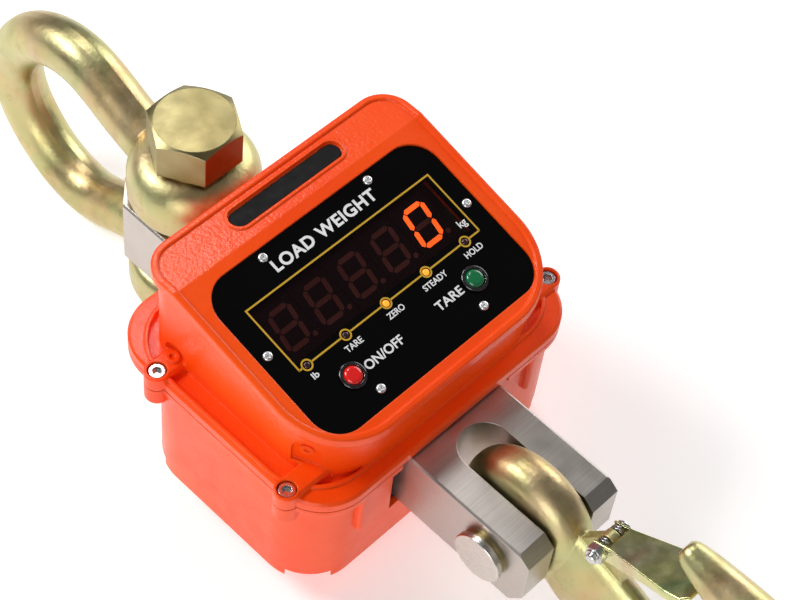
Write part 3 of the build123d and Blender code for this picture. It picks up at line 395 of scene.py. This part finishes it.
# ---------------------------------------------------------------- pieces on the panel

def face_matrix(x, v, rise=0.0):
    """Placement on the tilted panel, in metres."""
    return (Matrix.Translation((0, 0, FACE_Z * MM)) @ Matrix.Rotation(FACE_TILT, 4, "X")
            @ Matrix.Translation((x * MM, v * MM, rise * MM)))


def piece(name, mesh, look, body="scale"):
    obj = bpy.data.objects.new(name, mesh)
    bpy.context.scene.collection.objects.link(obj)
    obj.data.materials.clear()
    obj.data.materials.append(material(look))
    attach(obj, body)
    return obj


def prism_mesh(name, outlines, low, high, place):
    """Thin solid from closed outlines (lists of x, y in millimetres), between two heights."""
    shape = bmesh.new()
    for outline in outlines:
        bottom = [shape.verts.new((x * MM, y * MM, low * MM)) for x, y in outline]
        top = [shape.verts.new((x * MM, y * MM, high * MM)) for x, y in outline]
        shape.faces.new(top)
        shape.faces.new(list(reversed(bottom)))
        count = len(outline)
        for i in range(count):
            j = (i + 1) % count
            shape.faces.new((bottom[i], bottom[j], top[j], top[i]))
    bmesh.ops.recalc_face_normals(shape, faces=shape.faces)
    shape.transform(place)
    mesh = bpy.data.meshes.new(name)
    shape.to_mesh(mesh)
    shape.free()
    return mesh


def strip(x0, y0, x1, y1):
    return [(x0, y0), (x1, y0), (x1, y1), (x0, y1)]


def ring(cx, cy, outer, inner, parts=40):
    """A ring as short quads."""
    quads = []
    for i in range(parts):
        a, b = (2 * math.pi * k / parts for k in (i, i + 1))
        quads.append([(cx + inner * math.cos(a), cy + inner * math.sin(a)),
                      (cx + outer * math.cos(a), cy + outer * math.sin(a)),
                      (cx + outer * math.cos(b), cy + outer * math.sin(b)),
                      (cx + inner * math.cos(b), cy + inner * math.sin(b))])
    return quads


# Printed frame around the window, broken where the indicator rings sit, and heights of the print
FRAME_LEFT = -66.3
FRAME_RIGHT = 68.7
FRAME_LOW = LAMP_V
FRAME_HIGH = 19.5
LINE = 1.0
RING_OUT = 3.4
RING_LINE = 0.95
RING_LAP = 0.4
PRINT_LOW = 0.01
PRINT_HIGH = 0.05
LABEL_RISE = 0.03
LABEL_HALF = 0.015
outlines = [strip(FRAME_LEFT, FRAME_HIGH, FRAME_RIGHT, FRAME_HIGH + LINE),
            strip(FRAME_LEFT, FRAME_LOW - LINE / 2, FRAME_LEFT + LINE, FRAME_HIGH),
            strip(FRAME_RIGHT - LINE, FRAME_LOW - LINE / 2, FRAME_RIGHT, FRAME_HIGH)]
stops = [FRAME_LEFT] + [x + s * (RING_OUT - RING_LAP) for x in LAMP_XS for s in (-1, 1)] + [FRAME_RIGHT]
for left, right in zip(stops[0::2], stops[1::2]):
    outlines.append(strip(left, FRAME_LOW - LINE / 2, right, FRAME_LOW + LINE / 2))
for x in LAMP_XS:
    outlines += ring(x, LAMP_V, RING_OUT, RING_OUT - RING_LINE)
frame_mesh = prism_mesh("printed_frame", outlines, PRINT_LOW, PRINT_HIGH, face_matrix(0, 0))
piece("printed_frame", frame_mesh, "yellow_ink")


def label(name, text, size, x, v, span=None, spread=1.0, bold=0.0):
    """Printed word on the panel, centred on a place and stretched to a span."""
    curve = bpy.data.curves.new(name, "FONT")
    curve.body = text
    curve.size = size * MM
    curve.align_x = "CENTER"
    curve.align_y = "CENTER"
    curve.space_character = spread
    curve.offset = bold * MM
    curve.extrude = LABEL_HALF * MM
    curve.resolution_u = 6
    temp = bpy.data.objects.new(name, curve)
    bpy.context.scene.collection.objects.link(temp)
    bpy.context.view_layer.update()
    mesh = bpy.data.meshes.new_from_object(temp.evaluated_get(bpy.context.evaluated_depsgraph_get()))
    bpy.data.objects.remove(temp)
    xs = [p.co.x for p in mesh.vertices]
    stretch = span * MM / (max(xs) - min(xs)) if span else 1.0
    centred = Matrix.Diagonal((stretch, 1, 1, 1)) @ Matrix.Translation((-(max(xs) + min(xs)) / 2, 0, 0))
    mesh.transform(face_matrix(x, v, LABEL_RISE) @ centred)
    return piece(name, mesh, "white_ink")


LAMP_LABEL_V = -28.2
label("title_print", "LOAD WEIGHT", 9.8, -0.4, 29.4, span=74.0, bold=0.3, spread=1.08)
for name, text, x, span in (("lb_print", "lb", -60.7, 4.0), ("tare_lamp_print", "TARE", -32.9, 11.6),
                            ("zero_print", "ZERO", -2.1, 11.6), ("steady_print", "STEADY", 27.5, 17.0),
                            ("hold_print", "HOLD", 57.3, 12.6)):
    label(name, text, 5.0, x, LAMP_LABEL_V, span=span, bold=0.1)
label("kg_print", "kg", 6.2, 63.4, -12.4, bold=0.1)
label("power_print", "ON/OFF", 7.4, -23.2, -41.2, span=27.0, bold=0.16)
label("tare_print", "TARE", 7.4, 26.6, -40.4, span=19.2, bold=0.16)

# Seven-segment faces of the digits
SLANT = math.tan(math.radians(9.0))
SEGMENT = 2.9
HALF_W = 6.6
HALF_H = 12.3
MITRE_GAP = 0.35
END_INSET = 0.2
POINT_X = 10.6
POINT_RADIUS = 1.5
DIGIT_TOP = -2.4
SEGMENT_THICK = 0.12


def segment_outlines():
    """The seven bars and the point of one digit, with mitred ends."""
    t = SEGMENT / 2
    gap = MITRE_GAP

    def flat(y):
        end = HALF_W - gap - END_INSET
        return [(-end, y), (t - end, y + t), (end - t, y + t), (end, y), (end - t, y - t), (t - end, y - t)]

    def upright(x, low, high):
        return [(x, low + gap), (x + t, low + t + gap), (x + t, high - t - gap), (x, high - gap),
                (x - t, high - t - gap), (x - t, low + t + gap)]

    top = HALF_H - t
    bars = {"a": flat(top), "g": flat(0), "d": flat(-top),
            "b": upright(HALF_W, 0, top), "c": upright(HALF_W, -top, 0),
            "f": upright(-HALF_W, 0, top), "e": upright(-HALF_W, -top, 0)}
    turns = [2 * math.pi * i / 20 for i in range(20)]
    bars["p"] = [(POINT_X + POINT_RADIUS * math.cos(a), -top + POINT_RADIUS * math.sin(a)) for a in turns]
    return {key: [(x + y * SLANT, y) for x, y in bar] for key, bar in bars.items()}


for index in range(5):
    lit = "abcdef" if index == 4 else ""
    x = DIGIT_X0 + DIGIT_PITCH * index
    bars = segment_outlines()
    # The dim state holds the unlit segments, which carry a faint painted glow; the lit ones are real lamps
    for state, keys in (("lit", lit), ("dim", [k for k in "abcdefgp" if k not in lit])):
        if keys:
            name = "digit_%d_%s_segments" % (index + 1, state)
            place = face_matrix(x, WINDOW_V, DIGIT_TOP)
            mesh = prism_mesh(name, [bars[k] for k in keys], 0.0, SEGMENT_THICK, place)
            piece(name, mesh, "segment_" + state)


# ---------------------------------------------------------------- studio

# Metres: the floor's half width, and the two places that the lights point at
FLOOR_HALF = 6
AIM = (0, 0, 0.05)
FACET_LEFT = (-0.08, 0.06, 0.17)

floor_mesh = bpy.data.meshes.new("floor")
floor_signs = ((-1, -1), (1, -1), (1, 1), (-1, 1))
floor_mesh.from_pydata([(sx * FLOOR_HALF, sy * FLOOR_HALF, 0) for sx, sy in floor_signs], [], [(0, 1, 2, 3)])
floor = bpy.data.objects.new("floor", floor_mesh)
floor.data.materials.append(pale_floor())
bpy.context.scene.collection.objects.link(floor)


def area_light(name, place, aim, size, power, shape_y=None):
    light = bpy.data.lights.new(name, "AREA")
    light.energy = power
    light.shape = "RECTANGLE"
    light.size = size
    light.size_y = shape_y or size
    obj = bpy.data.objects.new(name, light)
    obj.location = place
    obj.rotation_euler = (Vector(aim) - Vector(place)).to_track_quat("-Z", "Y").to_euler()
    bpy.context.scene.collection.objects.link(obj)
    return obj


area_light("key", (-0.9, 1.5, 1.7), AIM, 1.0, 34, shape_y=0.7)
area_light("fill", (-1.7, -0.9, 0.9), AIM, 1.2, 17)
area_light("right", (1.8, 0.2, 0.9), AIM, 1.1, 16)
area_light("back", (0.49, 0.90, 1.64), FACET_LEFT, 0.40, 7)

world = bpy.data.worlds.new("studio")
bpy.context.scene.world = world
world.use_nodes = True
background = world.node_tree.nodes["Background"]
background.inputs["Color"].default_value = (1.0, 1.0, 1.0, 1.0)
background.inputs["Strength"].default_value = 0.15

bpy.context.scene.view_settings.view_transform = "Standard"

# Axis and angle, as one vector, of the turn from the object's axes to the camera's
CAMERA_TURN = Vector((2.381, -0.963, 0.415))
CAMERA_PLACE = (-0.5261, -0.4384, 1.0833)
camera_data = bpy.data.cameras.new("camera")
camera_data.lens = 99.0
camera_data.sensor_width = 36.0
camera_data.clip_end = 50.0
camera = bpy.data.objects.new("camera", camera_data)
bpy.context.scene.collection.objects.link(camera)
to_camera = Matrix.Rotation(CAMERA_TURN.length, 3, CAMERA_TURN.normalized())
look = to_camera.transposed() @ Matrix.Diagonal((1, -1, -1))
camera.matrix_world = Matrix.Translation(CAMERA_PLACE) @ look.to_4x4()
bpy.context.scene.camera = camera
